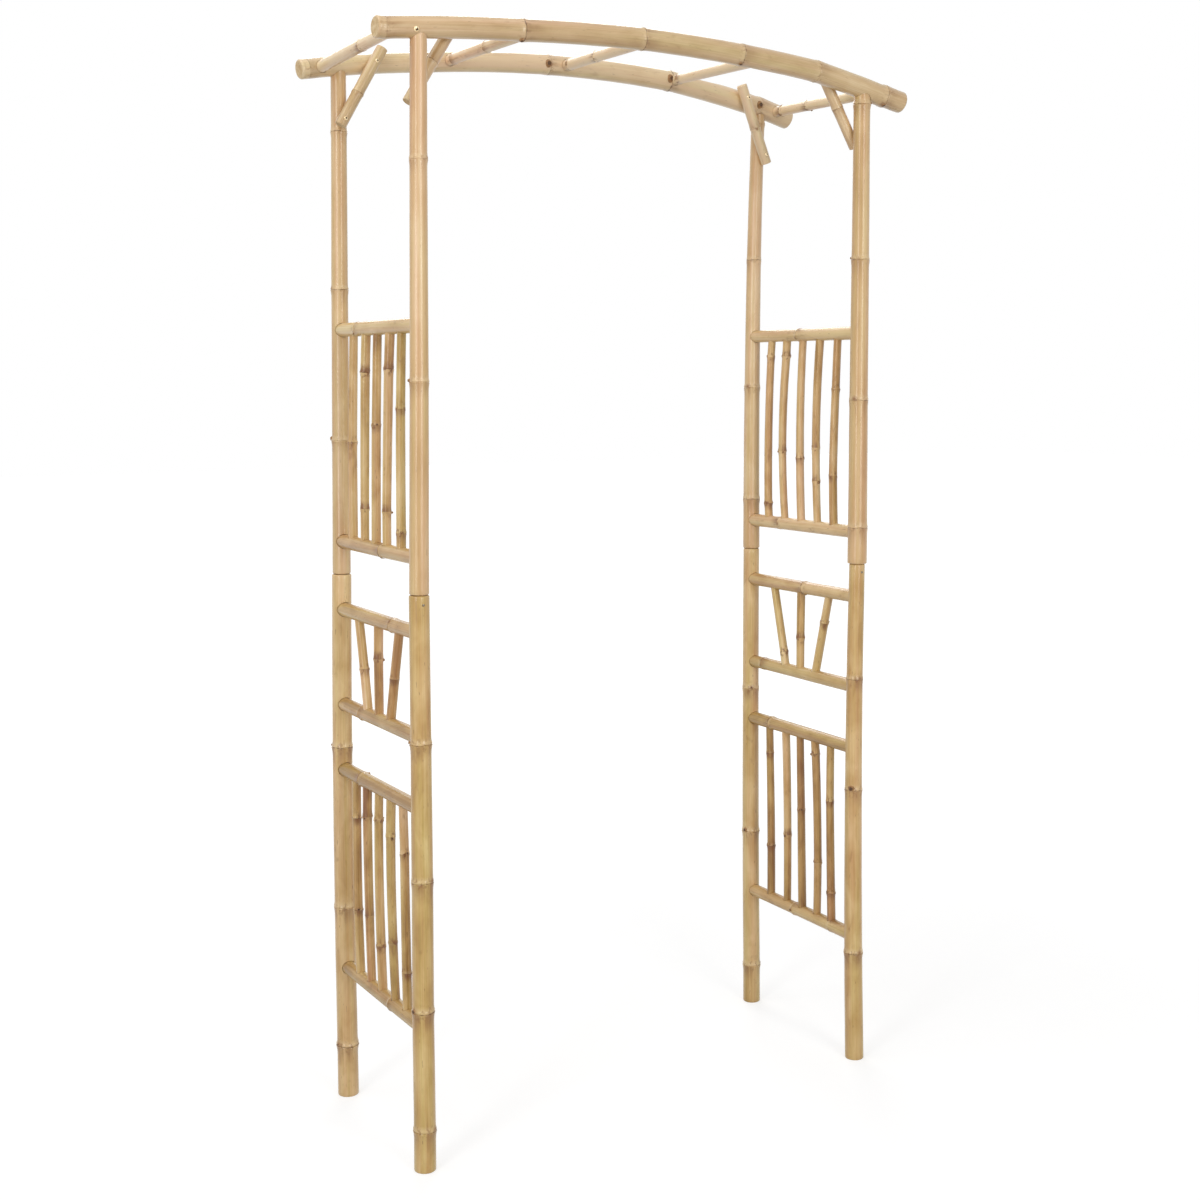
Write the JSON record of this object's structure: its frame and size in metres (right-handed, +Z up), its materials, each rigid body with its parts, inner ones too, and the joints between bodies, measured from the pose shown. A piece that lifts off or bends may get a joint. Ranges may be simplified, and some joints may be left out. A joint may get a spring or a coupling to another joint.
{
  "type": "garden arch",
  "caption": "Knock-down bamboo garden arch: slatted ladder sides carry a bowed roof of beams and cross rungs, and the head frame slips onto spigots in the legs.",
  "frame": {"origin": "on the ground, below the middle of the beams and midway between front and back posts", "axes": "+X across the walkway to the right, -Y towards the front, +Z up"},
  "size_m": [1.0522, 0.3811, 1.8807],
  "materials": {
    "post_bamboo": "satin bamboo skin, pale straw",
    "beam_bamboo": "satin bamboo skin, pale straw",
    "roof_bamboo": "satin bamboo skin, straw",
    "rung_bamboo": "satin bamboo skin, straw",
    "slat_bamboo": "satin bamboo skin, brown straw",
    "spigot_wood": "turned wood, matte",
    "screw_steel": "zinc plated",
    "nail_steel": "dull bright wire"
  },
  "bodies": {
    "head_frame": {"front_left_upper_post": "post_bamboo", "back_left_upper_post": "post_bamboo", "front_right_upper_post": "post_bamboo", "back_right_upper_post": "post_bamboo", "left_upper_rung_1": "rung_bamboo", "left_upper_rung_2": "rung_bamboo", "left_upper_slat_1": "slat_bamboo", "left_upper_slat_2": "slat_bamboo", "left_upper_slat_3": "slat_bamboo", "left_upper_slat_4": "slat_bamboo", "left_upper_slat_5": "slat_bamboo", "right_upper_rung_1": "rung_bamboo", "right_upper_rung_2": "rung_bamboo", "right_upper_slat_1": "slat_bamboo", "right_upper_slat_2": "slat_bamboo", "right_upper_slat_3": "slat_bamboo", "right_upper_slat_4": "slat_bamboo", "right_upper_slat_5": "slat_bamboo", "front_beam": "beam_bamboo", "back_beam": "beam_bamboo", "roof_rung_1": "roof_bamboo", "roof_rung_2": "roof_bamboo", "roof_rung_3": "roof_bamboo", "roof_rung_4": "roof_bamboo", "roof_rung_5": "roof_bamboo", "front_left_brace": "roof_bamboo", "back_left_brace": "roof_bamboo", "front_right_brace": "roof_bamboo", "back_right_brace": "roof_bamboo", "beam_screws": "screw_steel", "brace_screws": "screw_steel"},
    "left_leg": {"front_left_lower_post": "post_bamboo", "back_left_lower_post": "post_bamboo", "left_lower_rung_1": "rung_bamboo", "left_lower_rung_2": "rung_bamboo", "left_lower_rung_3": "rung_bamboo", "left_lower_rung_4": "rung_bamboo", "left_lower_slat_1": "slat_bamboo", "left_lower_slat_2": "slat_bamboo", "left_lower_slat_3": "slat_bamboo", "left_lower_slat_4": "slat_bamboo", "left_lower_slat_5": "slat_bamboo", "left_fan_slats": "slat_bamboo", "left_spigots": "spigot_wood", "left_spigot_nails": "nail_steel"},
    "right_leg": {"front_right_lower_post": "post_bamboo", "back_right_lower_post": "post_bamboo", "right_lower_rung_1": "rung_bamboo", "right_lower_rung_2": "rung_bamboo", "right_lower_rung_3": "rung_bamboo", "right_lower_rung_4": "rung_bamboo", "right_lower_slat_1": "slat_bamboo", "right_lower_slat_2": "slat_bamboo", "right_lower_slat_3": "slat_bamboo", "right_lower_slat_4": "slat_bamboo", "right_lower_slat_5": "slat_bamboo", "right_fan_slats": "slat_bamboo", "right_spigots": "spigot_wood", "right_spigot_nails": "nail_steel"}
  },
  "joints": [
    {"name": "left_leg_slide", "type": "slide", "parent": "head_frame", "child": "left_leg", "axis": [0, 0, -1], "range_m": [0, 0.04]},
    {"name": "right_leg_slide", "type": "slide", "parent": "head_frame", "child": "right_leg", "axis": [0, 0, -1], "range_m": [0, 0.04]}
  ]
}
